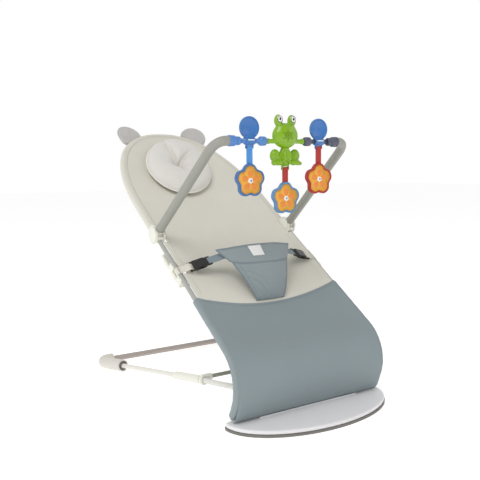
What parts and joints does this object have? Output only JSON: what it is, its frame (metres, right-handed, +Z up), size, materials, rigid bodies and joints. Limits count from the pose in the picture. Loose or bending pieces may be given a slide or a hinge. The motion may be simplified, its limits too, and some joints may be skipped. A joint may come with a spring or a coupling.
{
  "type": "baby bouncer",
  "caption": "Baby bouncer with a fabric sling on a tube frame, a reclining prop, a waist harness with buckles, a head pillow and a swing-over toy bar with hanging toys.",
  "frame": {"origin": "on the floor, in the middle of the foot plate's flat underside, straight below the seat hinge", "axes": "+Z up, +Y from the foot plate towards the child's head end, +X to the child's left, which is the right of the picture"},
  "size_m": [0.4952, 0.7579, 0.5865],
  "materials": {
    "frame_white": "satin off-white paint",
    "frame_beige": "satin grey-beige paint",
    "steel": "plain bar, slightly dull",
    "arm_grey": "satin mid-grey paint",
    "white_plastic": "moulded, off-white",
    "rubber": "dark, thin non-slip pad",
    "pale_rubber": "pale grey, matt",
    "plate_grey": "light grey, fine grain",
    "cream_fabric": "cream woven cotton",
    "blue_grey_fabric": "blue-grey woven cotton",
    "ear_fabric": "grey fleece",
    "pillow_fabric": "off-white soft cotton",
    "black_plastic": "black moulded",
    "blue_plastic": "blue moulded",
    "dark_plastic": "dark slate moulded",
    "frog_green": "bright green moulded",
    "eye_white": "white with a black pupil",
    "blue_strap": "blue flexible strap",
    "red_strap": "red flexible strap",
    "flower_yellow": "orange-yellow face"
  },
  "bodies": {
    "base": {"foot_plate": "plate_grey", "foot_pad": "rubber", "hinge_block_left": "white_plastic", "hinge_block_right": "white_plastic", "base_rail_left": "frame_white", "base_rail_right": "frame_white", "rear_bar": "frame_beige", "corner_foot_left": "pale_rubber", "corner_foot_right": "pale_rubber", "mid_sleeve_left": "white_plastic", "mid_sleeve_right": "white_plastic", "prop_axle": "steel"},
    "prop": {"prop_leg_left": "frame_white", "prop_leg_right": "frame_white", "prop_top_bar": "steel"},
    "seat": {"seat_tube_left": "frame_white", "seat_tube_right": "frame_white", "front_bar": "steel", "seat_arch": "frame_white", "recline_rack_left": "white_plastic", "recline_rack_right": "white_plastic", "hub_left": "white_plastic", "hub_right": "white_plastic", "lower_cover": "blue_grey_fabric", "upper_cover": "cream_fabric", "ear_left": "ear_fabric", "ear_right": "ear_fabric", "head_pillow": "pillow_fabric", "side_strap_left": "cream_fabric", "side_strap_right": "cream_fabric", "buckle_housing_left": "black_plastic", "buckle_housing_right": "black_plastic", "waistband": "blue_grey_fabric", "crotch_panel": "blue_grey_fabric"},
    "toy_bar": {"arm_socket_left": "white_plastic", "arm_socket_right": "white_plastic", "toy_arm_left": "arm_grey", "toy_arm_right": "arm_grey", "toy_rod": "steel", "end_cap_left": "blue_plastic", "end_cap_right": "dark_plastic", "toy_sleeve_left": "blue_plastic", "toy_sleeve_right": "dark_plastic"},
    "disc_left": {"toy_disc_left": "blue_plastic"},
    "disc_right": {"toy_disc_right": "blue_plastic"},
    "frog": {"frog_head": "frog_green", "frog_body": "frog_green", "frog_eye_left": "eye_white", "frog_eye_right": "eye_white"},
    "flower_left": {"strap_left": "blue_strap", "flower_left": "flower_yellow"},
    "flower_centre": {"strap_centre": "red_strap", "flower_centre": "flower_yellow"},
    "flower_right": {"strap_right": "red_strap", "flower_right": "flower_yellow"},
    "plug_left": {"buckle_plug_left": "black_plastic", "plug_webbing_left": "blue_grey_fabric"},
    "plug_right": {"buckle_plug_right": "black_plastic", "plug_webbing_right": "blue_grey_fabric"}
  },
  "joints": [
    {"name": "seat_recline", "type": "hinge", "parent": "base", "child": "seat", "pos_m": [0, 0, 0.0225], "axis": [1, 0, 0], "range_deg": [-32.5, 0]},
    {"name": "prop_swing", "type": "hinge", "parent": "base", "child": "prop", "pos_m": [0, 0.118, 0.064], "axis": [1, 0, 0], "range_deg": [-74, 0]},
    {"name": "toy_bar_swing", "type": "hinge", "parent": "seat", "child": "toy_bar", "pos_m": [0, 0.30136, 0.33537], "axis": [1, 0, 0], "range_deg": [-70, 20]},
    {"name": "disc_left_turn", "type": "hinge", "parent": "toy_bar", "child": "disc_left", "pos_m": [-0.08385, 0.0683, 0.5274], "axis": [1, 0, 0], "range_deg": [-60, 60]},
    {"name": "disc_right_turn", "type": "hinge", "parent": "toy_bar", "child": "disc_right", "pos_m": [0.08385, 0.0683, 0.5274], "axis": [1, 0, 0], "range_deg": [-60, 60]},
    {"name": "frog_turn", "type": "hinge", "parent": "toy_bar", "child": "frog", "pos_m": [0, 0.0683, 0.5274], "axis": [1, 0, 0], "range_deg": [-60, 60]},
    {"name": "flower_left_swing", "type": "hinge", "parent": "disc_left", "child": "flower_left", "pos_m": [-0.08385, 0.0683, 0.5154], "axis": [1, 0, 0], "range_deg": [-60, 60]},
    {"name": "flower_centre_swing", "type": "hinge", "parent": "frog", "child": "flower_centre", "pos_m": [0, 0.0683, 0.4739], "axis": [1, 0, 0], "range_deg": [-60, 60]},
    {"name": "flower_right_swing", "type": "hinge", "parent": "disc_right", "child": "flower_right", "pos_m": [0.08385, 0.0683, 0.5154], "axis": [1, 0, 0], "range_deg": [-60, 60]},
    {"name": "plug_left_slide", "type": "slide", "parent": "seat", "child": "plug_left", "axis": [0.9511, -0.166, 0.2606], "range_m": [0, 0.022]},
    {"name": "plug_right_slide", "type": "slide", "parent": "seat", "child": "plug_right", "axis": [-0.9511, -0.166, 0.2606], "range_m": [0, 0.022]}
  ],
  "couplings": [
    {"joint": "prop_swing", "follows": "seat_recline", "ratio": 2.26}
  ]
}
